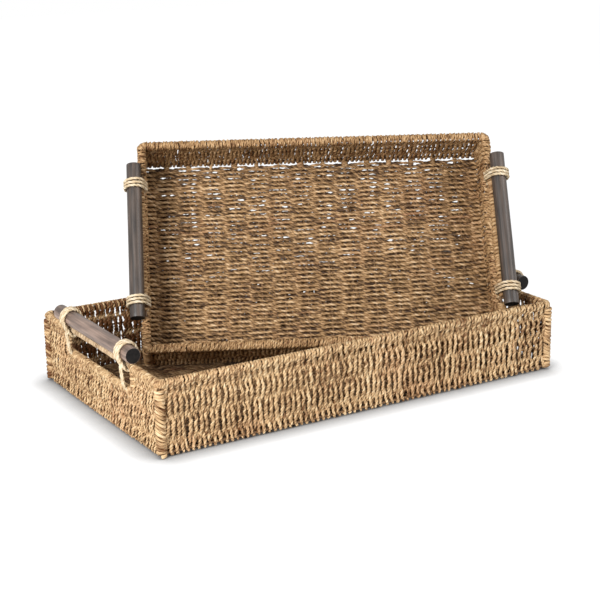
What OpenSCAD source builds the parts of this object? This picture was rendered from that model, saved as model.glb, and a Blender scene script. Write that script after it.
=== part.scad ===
// A pair of nesting trays woven from seagrass cord on wire frames, with dark dowel
// handles lashed over their hand-holes. The small tray stands on one long side inside
// the large one and leans on its back rim. Millimetres, Z up, X along the large tray,
// origin under the middle of the large tray.

/* [Large tray] */
// Length over the rims
large_length = 700; // [660:5:760]
// Width over the rims
large_width = 410; // [395:5:450]
// Height of the rim
large_height = 114; // [104:1:140]
// Width of each hand-hole
large_hole_width = 220; // [190:2:240]
// Length of each dowel
large_dowel_length = 260; // [244:2:290]
// Distance that each dowel lies off the middle of its hand-hole, toward the back
large_dowel_slip = 8; // [0:1:12]

/* [Small tray] */
// Length over the rims
small_length = 578; // [520:2:600]
// Width over the rims
small_width = 354; // [330:2:380]
// Height of the rim
small_height = 93; // [84:1:104]
// Width of each hand-hole
small_hole_width = 218; // [180:2:230]
// Length of each dowel
small_dowel_length = 256; // [242:2:270]
// Distance that each dowel lies off the middle of its hand-hole, toward the back
small_dowel_slip = 4; // [0:1:8]
// Angle by which the small tray leans back from upright, in degrees
lean = 33; // [28:1:38]

/* [Weave] */
// Thickness of the woven walls
wall_t = 11; // [9:0.5:12.5]
// Thickness of the woven floors
floor_t = 11; // [9:0.5:14]
// Diameter of the rolled rims
rim_d = 14; // [13:0.5:17]
// Diameter of the bound corner columns
corner_d = 16; // [15:0.5:20]
// Diameter of the bound grip bar over a hand-hole
grip_d = 17; // [14:0.5:20]
// Depth of a hand-hole's lower edge below the rim's top
hole_drop = 37; // [32:1:48]
// Radius of a hand-hole's lower corners
hole_corner_r = 15; // [8:1:20]

/* [Wire frame] */
// Diameter of the rim, foot, corner and hand-hole wires
frame_wire_d = 4; // [3:0.25:5]
// Diameter of the lighter wires that the cord is woven over
stake_d = 3; // [2:0.25:4]
// Spacing of the lighter wires in the walls
wall_wire_pitch = 33.5; // [27:0.5:42]
// Spacing of the lighter wires in the floors
floor_wire_pitch = 37.5; // [30:0.5:46]
// Bend radius of the rim and foot wires at the corners
bend_r = 6; // [5:0.5:8]
// Height of the foot wire
foot_wire_z = 6; // [4:0.5:7]
// Depth of the wire round a hand-hole inside the weave's edge
hole_wire_in = 6.5; // [5:0.5:9]

/* [Handles] */
// Diameter of the wooden dowels
dowel_d = 24; // [20:0.5:26]
// Angle, up from straight outwards, at which a dowel lies on its grip bar
dowel_angle = 53; // [45:1:60]
// Angle that the large tray's left dowel is turned further up its grip bar
left_dowel_turn = 32; // [0:1:40]

/* [Lashings] */
// Diameter of the lashing cord
lash_d = 4.8; // [4:0.1:5.6]
// Distance between a lashing's turns
lash_pitch = 5.5; // [5.3:0.1:8]
// Turns in a lashing
lash_turns = 3; // [2:1:3]

/* [Clearances] */
// Gap round a wire in the weave
wire_gap = 0.3; // [0.2:0.05:0.5]
// Gap between curved pieces that rest on each other
seat_gap = 0.3; // [0.2:0.05:0.5]
// Gap between a lashing and what it binds
lash_gap = 0.6; // [0.5:0.1:1]
// Gap between a lashing and the end of its hand-hole
lash_end_gap = 1.5; // [1:0.5:6]
// Gap between the leaning tray and the large tray's right rim
lean_end_gap = 2; // [0.5:0.5:8]
// Gap between the leaning tray and the large tray's front rim
lean_front_gap = 1; // [0.5:0.5:4]

/* [Hidden] */
$fn = 64;

seagrass = "#c49a62";
seagrass_dark = "#9c7444";
straw = "#e2c894";
stained_wood = "#5d534c";
bare_wire = "#6d6a66";

// A tray is its length, width and height, its hand-hole width, and its dowels' length, slip toward the back
// and turn of the left one.
large = [large_length, large_width, large_height, large_hole_width,
         large_dowel_length, large_dowel_slip, left_dowel_turn];
small = [small_length, small_width, small_height, small_hole_width,
         small_dowel_length, small_dowel_slip, 0];
function height(t) = t[2];
function hole_width(t) = t[3];
function dowel_length(t) = t[4];
function dowel_slip(t) = t[5];
function dowel_turn(t, side) = side < 0 ? t[6] : 0;

// Middle planes of the walls, which carry the wires, and the faces beside them
function wall_x(t) = t[0] / 2 - rim_d / 2;
function wall_y(t) = t[1] / 2 - rim_d / 2;
function inner_x(t) = wall_x(t) - wall_t / 2;
function inner_y(t) = wall_y(t) - wall_t / 2;
function rim_wire_z(t) = height(t) - rim_d / 2;
function hole_z(t) = height(t) - hole_drop;
function hole_wire_z(t) = hole_z(t) - hole_wire_in;
function upright_y(t) = hole_width(t) / 2 + hole_wire_in;

// Heights of the lighter wires between two heavier ones, evenly spread at about the pitch
function rows(low, high) = round((high - low) / wall_wire_pitch);
function levels(low, high) = [for (i = [1:1:rows(low, high) - 1]) low + (high - low) * i / rows(low, high)];
function long_levels(t) = levels(foot_wire_z, rim_wire_z(t));
function end_levels(t) = levels(foot_wire_z, hole_wire_z(t));
function stub_z(t) = (hole_wire_z(t) + rim_wire_z(t)) / 2;
function floor_count(t) = floor(2 * inner_x(t) / floor_wire_pitch - 1);
function floor_stakes(t) = [for (i = [0:floor_count(t)]) (i - floor_count(t) / 2) * floor_wire_pitch];

// A dowel lies on its grip bar; both are seen here along Y, from the rim wire
dowel_reach = (grip_d + dowel_d) / 2 + seat_gap;
function dowel_out(turn) = dowel_reach * cos(dowel_angle + turn);
function dowel_up(turn) = dowel_reach * sin(dowel_angle + turn);
function dowel_end(t, end) = dowel_slip(t) + end * dowel_length(t) / 2;

// Where the leaning tray stands: its turn about Z is the one that leaves the gap at the
// front rim, and its place leaves the seat gaps at the floor, the back rim and the right rim.
function along(turn) = [cos(turn), sin(turn), 0];
function up_slope(turn) = [-sin(turn) * sin(lean), cos(turn) * sin(lean), cos(lean)];
function out_slope(turn) = [sin(turn) * cos(lean), -cos(turn) * cos(lean), sin(lean)];
edge_x = small_length / 2 - (rim_d - wall_t) / 2;
stand_z = floor_t + seat_gap + (corner_d - rim_d) / 2 * cos(lean);
function unit(v) = v / norm(v);
function back_normal(turn) = unit([0, -up_slope(turn)[2], up_slope(turn)[1]]);
function stand_y(turn) =
  let (m = back_normal(turn), e = -edge_x * along(turn))
  wall_y(large) - e[1] + (rim_d / 2 + seat_gap - (stand_z - rim_wire_z(large)) * m[2]) / m[1];
function end_normal(turn) = unit([up_slope(turn)[2], 0, -up_slope(turn)[0]]);
function stand_x(turn) =
  let (m = end_normal(turn), e = edge_x * along(turn))
  wall_x(large) - e[0] - (rim_d / 2 + lean_end_gap + (stand_z - rim_wire_z(large)) * m[2]) / m[0];
function leaning_y(turn, p) = stand_y(turn) + p[0] * along(turn)[1]
  + (p[1] + small_width / 2) * up_slope(turn)[1] + p[2] * out_slope(turn)[1];
function front_reach(turn) = min(
  leaning_y(turn, [wall_x(small), -wall_y(small), height(small) - corner_d / 2]) - corner_d / 2,
  leaning_y(turn, [wall_x(small) + dowel_out(0), dowel_end(small, -1), rim_wire_z(small) + dowel_up(0)])
    - dowel_d / 2 * sqrt(1 - pow(up_slope(turn)[1], 2)));
front_limit = -(wall_y(large) - rim_d / 2) + lean_front_gap;
function solve_turn(low, high, steps) =
  let (mid = (low + high) / 2)
  steps == 0 ? mid
  : front_reach(mid) < front_limit ? solve_turn(mid, high, steps - 1) : solve_turn(low, mid, steps - 1);
small_turn = solve_turn(-60, 0, 40);
small_stand = [stand_x(small_turn), stand_y(small_turn), stand_z];

module lean_small() {
  translate(small_stand) rotate([90 - lean, 0, small_turn]) translate([0, small_width / 2, 0]) children();
}

// Straight bars along X, Y and Z between two coordinates
module bar_x(x0, x1, d) {
  translate([x0, 0, 0]) rotate([0, 90, 0]) cylinder(h = x1 - x0, d = d);
}
module bar_y(y0, y1, d) {
  translate([0, y0, 0]) rotate([-90, 0, 0]) cylinder(h = y1 - y0, d = d);
}
module bar_z(z0, z1, d) {
  translate([0, 0, z0]) cylinder(h = z1 - z0, d = d);
}

// The wire frame. Each wire takes the gap round it, so that the weave is cut by the same wires.
module ring(t, z, gap = 0) {
  d = frame_wire_d + 2 * gap;
  run_x = wall_x(t) - bend_r;
  run_y = wall_y(t) - bend_r;
  for (s = [-1, 1]) {
    translate([0, s * wall_y(t), z]) bar_x(-run_x, run_x, d);
    translate([s * wall_x(t), 0, z]) bar_y(-run_y, run_y, d);
  }
  for (c = [[1, 1, 0], [-1, 1, 90], [-1, -1, 180], [1, -1, 270]])
    translate([c[0] * run_x, c[1] * run_y, z]) rotate([0, 0, c[2]])
      rotate_extrude(angle = 90) translate([bend_r, 0]) circle(d = d);
}
module rim_wire(t, gap = 0) { color(bare_wire) ring(t, rim_wire_z(t), gap); }
module foot_wire(t, gap = 0) { color(bare_wire) ring(t, foot_wire_z, gap); }

module corner_wire(t, sx, sy, gap = 0) {
  clear = frame_wire_d / 2 + wire_gap - gap;
  translate([sx * wall_x(t), sy * wall_y(t), 0])
    bar_z(foot_wire_z + clear, rim_wire_z(t) - clear, frame_wire_d + 2 * gap);
}
module corner_wires(t) {
  color(bare_wire) for (sx = [-1, 1], sy = [-1, 1]) corner_wire(t, sx, sy);
}

module long_wires(t, side, gap = 0) {
  reach = wall_x(t) - frame_wire_d / 2 - wire_gap + gap;
  for (z = long_levels(t))
    translate([0, side * wall_y(t), z]) bar_x(-reach, reach, stake_d + 2 * gap);
}
module end_wires(t, side, gap = 0) {
  d = stake_d + 2 * gap;
  reach = wall_y(t) - frame_wire_d / 2 - wire_gap + gap;
  stop = upright_y(t) + frame_wire_d / 2 + wire_gap - gap;
  for (z = end_levels(t)) translate([side * wall_x(t), 0, z]) bar_y(-reach, reach, d);
  for (s = [0, 1]) translate([side * wall_x(t), 0, stub_z(t)]) mirror([0, s, 0]) bar_y(stop, reach, d);
}
module wall_wires(t) {
  color(bare_wire) for (side = [-1, 1]) {
    long_wires(t, side);
    end_wires(t, side);
  }
}

module floor_wires(t, gap = 0) {
  reach = wall_y(t) - frame_wire_d / 2 - wire_gap + gap;
  color(bare_wire) for (x = floor_stakes(t))
    translate([x, 0, floor_t / 2]) bar_y(-reach, reach, stake_d + 2 * gap);
}

module hand_hole_frame(t, side, gap = 0) {
  d = frame_wire_d + 2 * gap;
  reach = wall_y(t) - frame_wire_d / 2 - wire_gap + gap;
  clear = frame_wire_d / 2 + wire_gap - gap;
  translate([side * wall_x(t), 0, hole_wire_z(t)]) bar_y(-reach, reach, d);
  for (s = [-1, 1]) translate([side * wall_x(t), s * upright_y(t), 0])
    bar_z(hole_wire_z(t) + clear, rim_wire_z(t) - clear, d);
}
module hand_hole_wires(t) {
  color(bare_wire) for (side = [-1, 1]) hand_hole_frame(t, side);
}

// The weave. Corner columns stand at the corners, and the walls and floor are cut to them.
module column(t, sx, sy, gap = 0) {
  translate([sx * wall_x(t), sy * wall_y(t), 0]) cylinder(h = height(t), r = corner_d / 2 + gap);
}
module floor_weave(t) {
  color(seagrass_dark) difference() {
    translate([-inner_x(t), -inner_y(t), 0]) cube([2 * inner_x(t), 2 * inner_y(t), floor_t]);
    for (sx = [-1, 1], sy = [-1, 1]) column(t, sx, sy, seat_gap);
    floor_wires(t, wire_gap);
  }
}
module long_weave(t, side) {
  run = wall_x(t) - rim_d / 2 - seat_gap;
  color(seagrass) difference() {
    translate([0, side * wall_y(t), 0]) union() {
      translate([-run, -wall_t / 2, 0]) cube([2 * run, wall_t, rim_wire_z(t)]);
      translate([0, 0, rim_wire_z(t)]) bar_x(-run, run, rim_d);
    }
    for (sx = [-1, 1]) column(t, sx, side, seat_gap);
    rim_wire(t, wire_gap);
    foot_wire(t, wire_gap);
    long_wires(t, side, wire_gap);
    floor_wires(t, wire_gap);
  }
}
module hole_outline(t) {
  w = hole_width(t);
  r = hole_corner_r;
  translate([-w / 2, r]) square([w, hole_drop + rim_d]);
  translate([r - w / 2, 0]) square([w - 2 * r, r]);
  for (s = [-1, 1]) translate([s * (w / 2 - r), r]) circle(r = r);
}
module end_weave(t, side) {
  run = wall_y(t) - rim_d / 2 - seat_gap;
  color(seagrass) difference() {
    translate([side * wall_x(t), 0, 0]) union() {
      translate([-wall_t / 2, -run, 0]) cube([wall_t, 2 * run, rim_wire_z(t)]);
      translate([0, 0, rim_wire_z(t)]) bar_y(-run, run, rim_d);
    }
    translate([side * wall_x(t) - rim_d, 0, hole_z(t)])
      rotate([90, 0, 90]) linear_extrude(2 * rim_d) hole_outline(t);
    for (sy = [-1, 1]) column(t, side, sy, seat_gap);
    rim_wire(t, wire_gap);
    foot_wire(t, wire_gap);
    end_wires(t, side, wire_gap);
    hand_hole_frame(t, side, wire_gap);
  }
}
module corner_binding(t, sx, sy) {
  r = corner_d / 2;
  color(seagrass) difference() {
    translate([sx * wall_x(t), sy * wall_y(t), 0]) rotate_extrude() {
      square([r, height(t) - r]);
      translate([0, height(t) - r]) intersection() {
        circle(r = r);
        square(r);
      }
    }
    rim_wire(t, wire_gap);
    foot_wire(t, wire_gap);
    corner_wire(t, sx, sy, wire_gap);
    long_wires(t, sy, wire_gap);
    end_wires(t, sx, wire_gap);
    hand_hole_frame(t, sx, wire_gap);
  }
}

// The handles: a bound grip bar round the rim wire across each hand-hole, and a dowel on it
module grip(t, side) {
  color(straw) translate([side * wall_x(t), 0, rim_wire_z(t)]) difference() {
    bar_y(-hole_width(t) / 2, hole_width(t) / 2, grip_d);
    bar_y(-hole_width(t), hole_width(t), frame_wire_d + 2 * wire_gap);
  }
}
module dowel(t, side) {
  turn = dowel_turn(t, side);
  color(stained_wood) translate([side * (wall_x(t) + dowel_out(turn)), 0, rim_wire_z(t) + dowel_up(turn)])
    bar_y(dowel_end(t, -1), dowel_end(t, 1), dowel_d);
}

// A lashing is one cord wound round the dowel and the grip bar together. Its loop, seen along Y
// from the rim wire, is two arcs and two straights, walked by its length from under the grip bar.
loop_rings = 24;
cord_sides = 6;
grip_turn_r = grip_d / 2 + lash_gap + lash_d / 2;
dowel_turn_r = dowel_d / 2 + lash_gap + lash_d / 2;
tangent = acos((grip_turn_r - dowel_turn_r) / dowel_reach);
straight = dowel_reach * sin(tangent);
grip_arc = grip_turn_r * (180 - tangent) * PI / 180;
dowel_arc = dowel_turn_r * 2 * tangent * PI / 180;
loop_length = 2 * grip_arc + 2 * straight + dowel_arc;
dowel_at = [dowel_out(0), dowel_up(0)];
function polar(r, a) = r * [cos(a), sin(a)];
function degrees(arc, r) = arc / r * 180 / PI;
function loop_point(s) =
  let (a = dowel_angle, b = a - tangent, c = a + tangent)
  s < grip_arc ? polar(grip_turn_r, a + 180 + degrees(s, grip_turn_r))
  : s < grip_arc + straight ?
    polar(grip_turn_r, b) + (s - grip_arc) * [cos(b + 90), sin(b + 90)]
  : s < grip_arc + straight + dowel_arc ?
    dowel_at + polar(dowel_turn_r, b + degrees(s - grip_arc - straight, dowel_turn_r))
  : s < loop_length - grip_arc ?
    polar(grip_turn_r, c) + (loop_length - grip_arc - s) * [cos(c - 90), sin(c - 90)]
  : polar(grip_turn_r, c + degrees(s - loop_length + grip_arc, grip_turn_r));
function lash_point(i) =
  let (turn = i / loop_rings, q = loop_point((turn - floor(turn)) * loop_length))
  [q[0], (turn - lash_turns / 2) * lash_pitch, q[1]];
lash_rings = lash_turns * loop_rings;
wound = [for (i = [0:lash_rings]) lash_point(i)];
first_tail = wound[0] + lash_d * unit(wound[0] - wound[1]);
last_tail = wound[lash_rings] + lash_d * unit(wound[lash_rings] - wound[lash_rings - 1]);
lash_path = concat([first_tail], wound, [last_tail]);
last = len(lash_path) - 1;
lash_spans = [for (i = [0:last], j = [0:last]) if (j > i + loop_rings / 2) norm(lash_path[i] - lash_path[j])];
echo(lashing_least_gap_to_itself = min(lash_spans) - lash_d);

function heading(i) = unit(lash_path[min(i + 1, last)] - lash_path[max(i - 1, 0)]);
function cord_ring(i) =
  let (h = heading(i), across = unit([0, 1, 0] - h[1] * h), up = cross(h, across))
  [for (k = [0:cord_sides - 1])
    lash_path[i] + lash_d / 2 * (cos(k * 360 / cord_sides) * across + sin(k * 360 / cord_sides) * up)];
module lash_cord() {
  n = cord_sides;
  polyhedron(
    points = [for (i = [0:last]) each cord_ring(i)],
    faces = concat(
      [for (i = [0:last - 1], k = [0:n - 1]) [i * n + k, i * n + n + k, i * n + (k + 1) % n]],
      [for (i = [0:last - 1], k = [0:n - 1]) [i * n + n + k, i * n + n + (k + 1) % n, i * n + (k + 1) % n]],
      [for (k = [1:n - 2]) [0, k, k + 1]],
      [for (k = [1:n - 2]) [last * n, last * n + k + 1, last * n + k]]));
}
lash_half = (lash_turns * lash_pitch + lash_d) / 2;
function lash_y(t) = hole_width(t) / 2 - lash_end_gap - lash_half;
module lashing(t, side, end) {
  flip = side < 0 ? [1, 0, 0] : [0, 0, 0];
  color(straw) mirror(flip) translate([wall_x(t), end * lash_y(t), rim_wire_z(t)])
    rotate([0, -dowel_turn(t, side), 0]) lash_cord();
}

rim_wire(large);  // large_rim_wire
foot_wire(large);  // large_foot_wire
corner_wires(large);  // large_corner_wires
wall_wires(large);  // large_wall_wires
floor_wires(large);  // large_floor_wires
hand_hole_wires(large);  // large_hand_hole_wires
floor_weave(large);  // large_floor_weave
long_weave(large, -1);  // large_front_weave
long_weave(large, 1);  // large_back_weave
end_weave(large, -1);  // large_left_weave
end_weave(large, 1);  // large_right_weave
corner_binding(large, -1, -1);  // large_front_left_corner
corner_binding(large, 1, -1);  // large_front_right_corner
corner_binding(large, -1, 1);  // large_back_left_corner
corner_binding(large, 1, 1);  // large_back_right_corner
grip(large, -1);  // large_left_grip
grip(large, 1);  // large_right_grip
dowel(large, -1);  // large_left_dowel
dowel(large, 1);  // large_right_dowel
lashing(large, -1, -1);  // large_left_front_lashing
lashing(large, -1, 1);  // large_left_back_lashing
lashing(large, 1, -1);  // large_right_front_lashing
lashing(large, 1, 1);  // large_right_back_lashing
lean_small() rim_wire(small);  // small_rim_wire
lean_small() foot_wire(small);  // small_foot_wire
lean_small() corner_wires(small);  // small_corner_wires
lean_small() wall_wires(small);  // small_wall_wires
lean_small() floor_wires(small);  // small_floor_wires
lean_small() hand_hole_wires(small);  // small_hand_hole_wires
lean_small() floor_weave(small);  // small_floor_weave
lean_small() long_weave(small, -1);  // small_front_weave
lean_small() long_weave(small, 1);  // small_back_weave
lean_small() end_weave(small, -1);  // small_left_weave
lean_small() end_weave(small, 1);  // small_right_weave
lean_small() corner_binding(small, -1, -1);  // small_front_left_corner
lean_small() corner_binding(small, 1, -1);  // small_front_right_corner
lean_small() corner_binding(small, -1, 1);  // small_back_left_corner
lean_small() corner_binding(small, 1, 1);  // small_back_right_corner
lean_small() grip(small, -1);  // small_left_grip
lean_small() grip(small, 1);  // small_right_grip
lean_small() dowel(small, -1);  // small_left_dowel
lean_small() dowel(small, 1);  // small_right_dowel
lean_small() lashing(small, -1, -1);  // small_left_front_lashing
lean_small() lashing(small, -1, 1);  // small_left_back_lashing
lean_small() lashing(small, 1, -1);  // small_right_front_lashing
lean_small() lashing(small, 1, 1);  // small_right_back_lashing
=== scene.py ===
import math
import bpy
import numpy as np
from mathutils import Matrix, Vector


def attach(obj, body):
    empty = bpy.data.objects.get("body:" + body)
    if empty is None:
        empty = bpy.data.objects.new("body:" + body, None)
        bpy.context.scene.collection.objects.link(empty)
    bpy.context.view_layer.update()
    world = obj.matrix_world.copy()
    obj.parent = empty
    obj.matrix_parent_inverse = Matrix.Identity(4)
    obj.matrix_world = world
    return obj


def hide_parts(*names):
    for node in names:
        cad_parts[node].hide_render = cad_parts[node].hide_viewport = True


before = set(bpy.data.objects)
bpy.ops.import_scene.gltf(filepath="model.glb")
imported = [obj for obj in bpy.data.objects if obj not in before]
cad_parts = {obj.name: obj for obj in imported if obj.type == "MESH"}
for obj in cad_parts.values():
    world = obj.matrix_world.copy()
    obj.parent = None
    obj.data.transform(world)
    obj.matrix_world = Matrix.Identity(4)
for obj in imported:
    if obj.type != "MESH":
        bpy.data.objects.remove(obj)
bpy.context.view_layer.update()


# The pair of trays. Each is laid out in its own axes, X along it, Y across it and Z up from under
# its floor. The large one stands level; the small one stands on its front wall and leans back, and
# its two grip bars show how it lies.
def corners_of(node):
    """A node's points, each once."""
    points = np.array([v.co[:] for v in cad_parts[node].data.vertices])
    return np.unique(np.round(points, 6), axis=0)


def unit(v):
    """Vectors brought to a length of one."""
    return v / np.linalg.norm(v, axis=-1, keepdims=True)


class Tray:
    """A tray's axes and the sizes that its weave follows, in metres."""

    def __init__(self, name):
        self.name = name
        self.body = name + "_tray"
        left = corners_of(name + "_left_grip")
        right = corners_of(name + "_right_grip")
        along = unit(right.mean(0) - left.mean(0))
        grain = np.linalg.svd(left - left.mean(0), full_matrices=False)[2][0]
        grain = grain * np.sign(grain[1])
        across = unit(grain - (grain @ along) * along)
        up = np.cross(along, across)
        middle = (left.mean(0) + right.mean(0)) / 2
        under = (corners_of(name + "_floor_weave") @ up).min()
        self.axes = np.array([along, across, up])
        self.origin = middle + (under - middle @ up) * up
        wire_low, wire_high = self.box("rim_wire")
        self.wire_r = (wire_high[2] - wire_low[2]) / 2
        self.wall_x = wire_high[0] - self.wire_r
        self.wall_y = wire_high[1] - self.wire_r
        self.rim_z = wire_high[2] - self.wire_r
        self.foot_z = self.box("foot_wire")[1][2] - self.wire_r
        self.run_x = self.box("front_weave")[1][0]
        self.run_y = self.box("left_weave")[1][1]
        self.floor_x, self.floor_y, self.floor_t = self.box("floor_weave")[1]
        self.hole_half = self.box("left_grip")[1][1]
        self.hole_wire_z = self.box("hand_hole_wires")[0][2] + self.wire_r

    def box(self, part):
        """Lowest and highest corner of one of this tray's nodes, in the tray's own axes."""
        points = (corners_of(f"{self.name}_{part}") - self.origin) @ self.axes.T
        return points.min(0), points.max(0)

    def place(self, points):
        """Points from the tray's own axes to where the tray lies."""
        return self.origin + points @ self.axes


trays = [Tray("large"), Tray("small")]
lengthways, crossways, upwards = np.eye(3)


# The wire frames. Drawn steel wire, bent and welded and dull, coloured the brown of cord in shade as
# painted shade. The cord is woven over it, so little more than a line of it shows between the strands.
def shade(r, g, b):
    """A colour as it is seen, from 0 to 255, in the linear values that shaders take."""
    seen = np.array([r, g, b]) / 255
    linear = np.where(seen <= 0.04045, seen / 12.92, ((seen + 0.055) / 1.055) ** 2.4)
    return (*linear.tolist(), 1.0)


def add_node(tree, kind, **inputs):
    """A shader node with values on some of its sockets."""
    node = tree.nodes.new(kind)
    for name, value in inputs.items():
        node.inputs[name.replace("_", " ")].default_value = value
    return node


def new_material(name):
    """An empty material with its Principled shader, ready for links."""
    material = bpy.data.materials.new(name)
    material.use_nodes = True
    tree = material.node_tree
    return material, tree, tree.nodes["Principled BSDF"]


def wire_in_painted_shade():
    material, tree, shader = new_material("wire_in_painted_shade")
    spots = add_node(tree, "ShaderNodeTexNoise", Scale=160.0, Detail=5.0)
    place = tree.nodes.new("ShaderNodeTexCoord")
    tint = tree.nodes.new("ShaderNodeValToRGB")
    # Painted shade: the wire takes the browns of cord in shade.
    tint.color_ramp.elements[0].position = 0.35
    tint.color_ramp.elements[0].color = shade(92, 66, 42)
    tint.color_ramp.elements[1].position = 0.7
    tint.color_ramp.elements[1].color = shade(138, 104, 68)
    dull = add_node(tree, "ShaderNodeMapRange", To_Min=0.45, To_Max=0.75)
    tree.links.new(place.outputs["Object"], spots.inputs["Vector"])
    tree.links.new(spots.outputs["Fac"], tint.inputs["Fac"])
    tree.links.new(spots.outputs["Fac"], dull.inputs["Value"])
    tree.links.new(tint.outputs["Color"], shader.inputs["Base Color"])
    tree.links.new(dull.outputs["Result"], shader.inputs["Roughness"])
    return material


wire_finish = wire_in_painted_shade()
wire_parts = ["rim_wire", "foot_wire", "corner_wires", "wall_wires", "floor_wires", "hand_hole_wires"]
for tray in trays:
    for part in wire_parts:
        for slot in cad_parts[f"{tray.name}_{part}"].material_slots:
            slot.material = wire_finish


# The woven floors. Two-ply seagrass cord laid in close rows along the tray, over one floor wire and
# under the next, and the next row the other way, with small openings here and there beside the wires.
# The rows stop short of the long walls, where daylight shows between the ties round the wires.

# An eye is a small opening between two rows, and a tie is cord round the end of a floor wire.
cord_half = 0.0021
cord_lay = 0.0135
slack_run = 0.047
floor_wire_gap = 0.0375
floor_tuck = 0.003
edge_gap = 0.0040
edge_sway = 0.0021
row_pitch = 0.0038
row_rise = 0.0026
row_snap = 1.4
row_lay = 0.015
row_half = 0.0029
row_draw_in = 0.0003
row_spread = 0.0012
row_end_spread = 0.0005
row_steps = {"large": 210, "small": 250}
# Painted light on the floor rows: a highlight on each crown over a wire, and shade on the slopes and on the
# side of a row that is turned into the weave.
painted_crown_highlight = 0.09
painted_slope_shade = 0.07
painted_weave_shade = 0.42
eye_chance = 0.07
eye_chance_back = 0.12
eye_half = 0.0040
eye_out = 0.0065
eye_stray = 0.002
eye_draw_in = 0.0010
eye_shift = 0.0005
tie_lap = 0.004
tie_half = (0.0022, 0.0075)
tie_thick = 0.0026
tie_steps = 7


def wander(chance, count, along, waves, size):
    """Slow drift along each of several cords, from waves of a few lengths."""
    drift = np.zeros((count, len(along)))
    for wave in waves:
        start = chance.uniform(0, 2 * np.pi, (count, 1))
        drift += chance.normal(0, 1, (count, 1)) * np.sin(2 * np.pi * along / wave + start)
    return size * drift / math.sqrt(len(waves))


def twist_cords(paths, broad, half_wide, half_thick, tone, chance, lay=cord_lay, sides=10, groove=0.3):
    """Rings of points round several two-ply cords, with their fibre and tone values. broad is the
    direction that a flattened cord spreads in, lay the length of one twist, and groove the depth
    between the plies."""
    count, steps = paths.shape[:2]
    heading = unit(np.gradient(paths, axis=1))
    spread = unit(broad - (heading @ broad)[..., None] * heading)
    outward = np.cross(heading, spread)
    step = np.linalg.norm(np.diff(paths, axis=1), axis=2)
    run = np.concatenate([np.zeros((count, 1)), np.cumsum(step, axis=1)], axis=1)
    around = 2 * np.pi * np.arange(sides) / sides
    ply = 1 - groove * (1 - np.abs(np.cos(around)))
    lays = lay * chance.uniform(0.85, 1.2, (count, 1))
    start = chance.uniform(0, 40, (count, 1))
    slack = 0.5 * np.sin(2 * np.pi * run / slack_run + start)
    turn = (2 * np.pi * run / lays + start + slack)[..., None] + around
    wide = np.broadcast_to(half_wide, (count, steps))[..., None] * ply * np.cos(turn)
    thick = np.broadcast_to(half_thick, (count, steps))[..., None] * ply * np.sin(turn)
    rings = wide[..., None] * spread[:, :, None] + thick[..., None] * outward[:, :, None]
    rings = rings + paths[:, :, None]
    length = (run / lay + start)[..., None]
    fibre = np.stack(np.broadcast_arrays(np.cos(around), np.sin(around), length), axis=-1)
    tones = np.broadcast_to(tone[:, :, None], (count, steps, sides, 2))
    # The third tone value marks each cord's flanks, where the shader paints shade between the cords.
    painted_flank_shade = np.abs(np.cos(turn))[..., None]
    return rings, fibre, np.concatenate([tones, painted_flank_shade], axis=-1)


def cord_mesh(name, bundles, tray, material):
    """One piece from several bundles of twisted cords, each cord a closed tube."""
    points, fibres, tones, faces, first = [], [], [], [], 0
    for rings, fibre, tone in bundles:
        count, steps, sides = rings.shape[:3]
        index = first + np.arange(count * steps * sides).reshape(count, steps, sides)
        after = np.roll(index, -1, axis=2)
        quads = np.stack([index[:, :-1], after[:, :-1], after[:, 1:], index[:, 1:]], axis=-1)
        faces.extend(quads.reshape(-1, 4).tolist())
        faces.extend(index[:, 0, ::-1].tolist())
        faces.extend(index[:, -1].tolist())
        points.append(rings.reshape(-1, 3))
        fibres.append(fibre.reshape(-1, 3))
        tones.append(tone.reshape(-1, 3))
        first += count * steps * sides
    mesh = bpy.data.meshes.new(name)
    mesh.from_pydata(tray.place(np.concatenate(points)).tolist(), [], faces, shade_flat=False)
    for label, values in (("fibre", fibres), ("tone", tones)):
        layer = mesh.attributes.new(label, "FLOAT_VECTOR", "POINT")
        layer.data.foreach_set("vector", np.concatenate(values).astype(np.float32).ravel())
    mesh.materials.append(material)
    piece = bpy.data.objects.new(name, mesh)
    bpy.context.collection.objects.link(piece)
    return piece


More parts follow.
